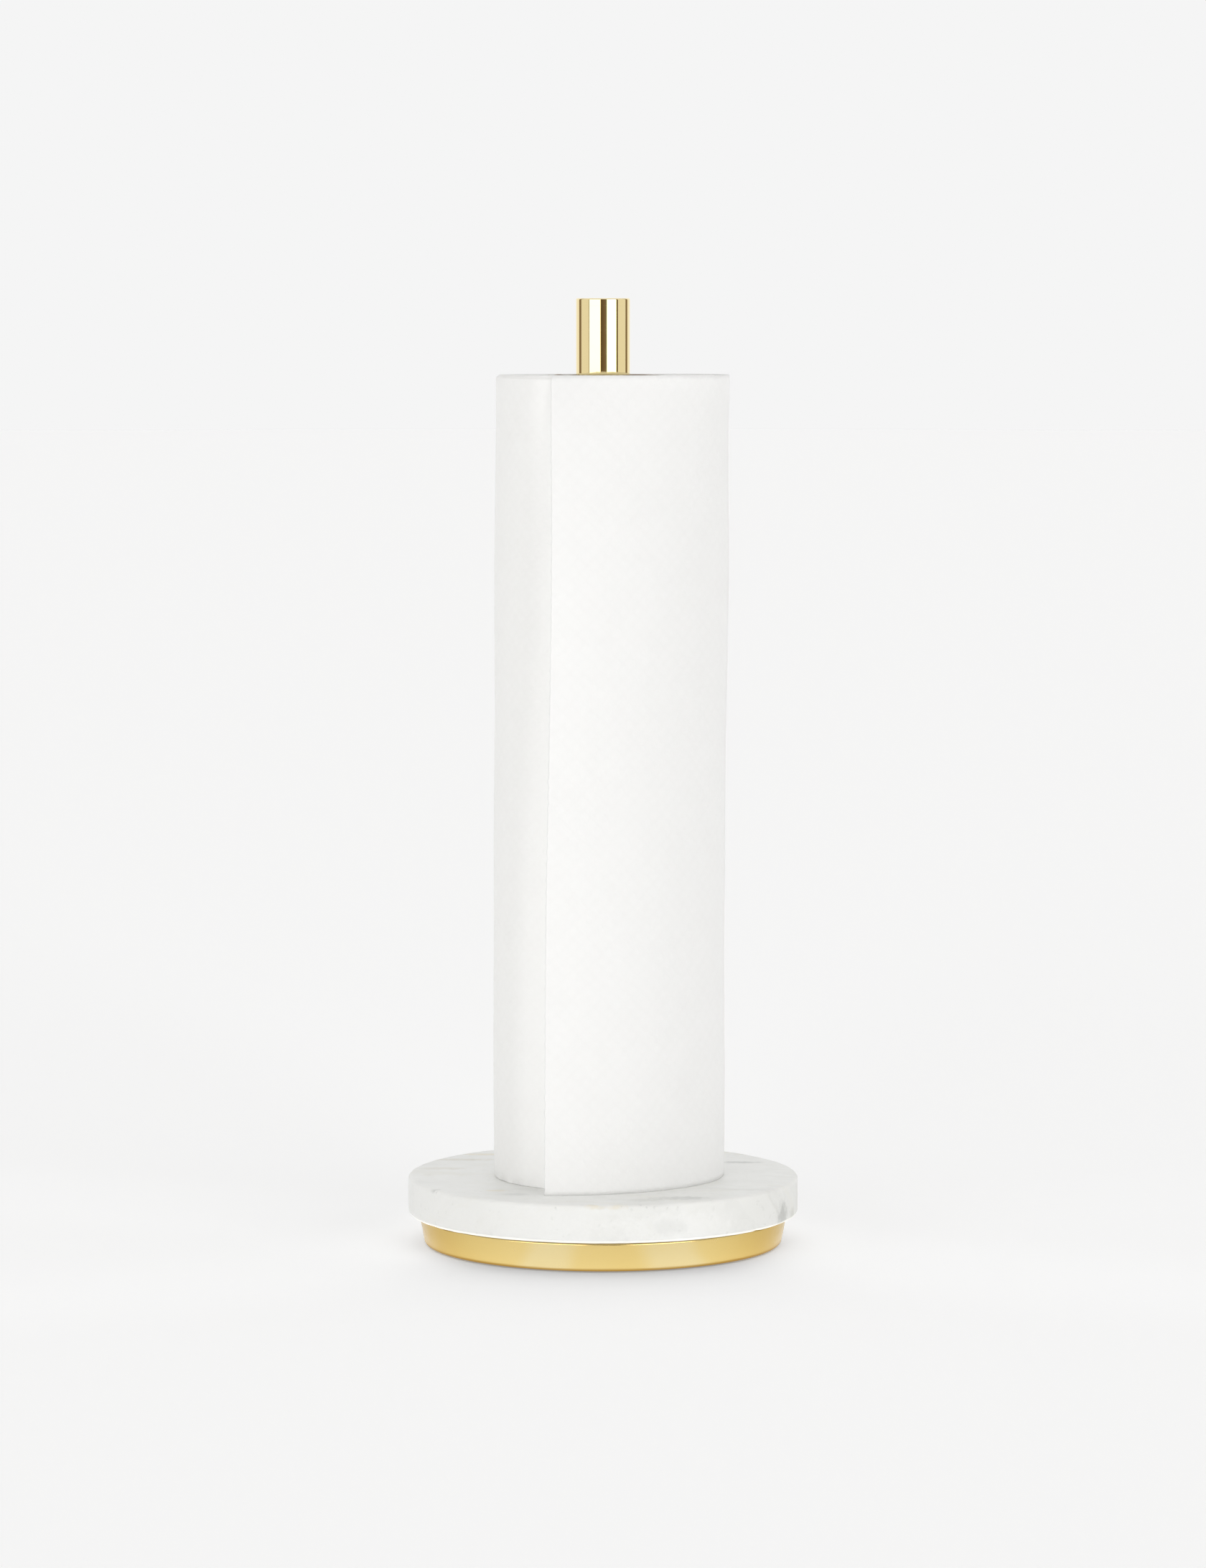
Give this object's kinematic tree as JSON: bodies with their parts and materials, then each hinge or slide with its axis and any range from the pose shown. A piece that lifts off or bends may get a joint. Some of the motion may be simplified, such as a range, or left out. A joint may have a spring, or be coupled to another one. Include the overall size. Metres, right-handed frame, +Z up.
{
  "type": "paper towel holder",
  "caption": "Countertop paper towel holder: a marble disc on a flared gold pan with an upright gold post, holding a roll of paper towel that turns and lifts off.",
  "frame": {"origin": "centre of the underside, where the foot pad stands on the table, on the post's axis", "axes": "+Z up along the post; -Y towards the front, where the loose sheet's free edge shows; +X to the right as seen from the front"},
  "size_m": [0.1366, 0.1366, 0.33],
  "materials": {
    "gold_post": "polished",
    "gold_pan": "satin",
    "marble": "satin",
    "ballast_steel": "matte",
    "zinc_steel": "satin",
    "foam": "matte",
    "non_slip_foam": "matte",
    "fibre": "matte",
    "cardboard": "matte",
    "paper_wound": "matte",
    "paper_sheet": "matte"
  },
  "bodies": {
    "holder": {"base_pan": "gold_pan", "ballast_ring": "ballast_steel", "marble_pad": "foam", "marble_disc": "marble", "foot_pad": "non_slip_foam", "post_washer": "fibre", "post_tube": "gold_post", "post_cap": "gold_post", "threaded_plug": "zinc_steel", "clamp_screw": "zinc_steel", "spring_washer": "zinc_steel", "flat_washer": "zinc_steel"},
    "core": {"core_tube": "cardboard"},
    "paper": {"paper_roll": "paper_wound", "loose_sheet": "paper_sheet"}
  },
  "joints": [
    {"name": "roll_lift", "type": "slide", "parent": "holder", "child": "core", "axis": [0, 0, 1], "range_m": [0, 0.32]},
    {"name": "roll_spin", "type": "hinge", "parent": "core", "child": "paper", "pos_m": [0.0008, 0, 0.1637], "axis": [0, 0, 1], "continuous": true}
  ]
}
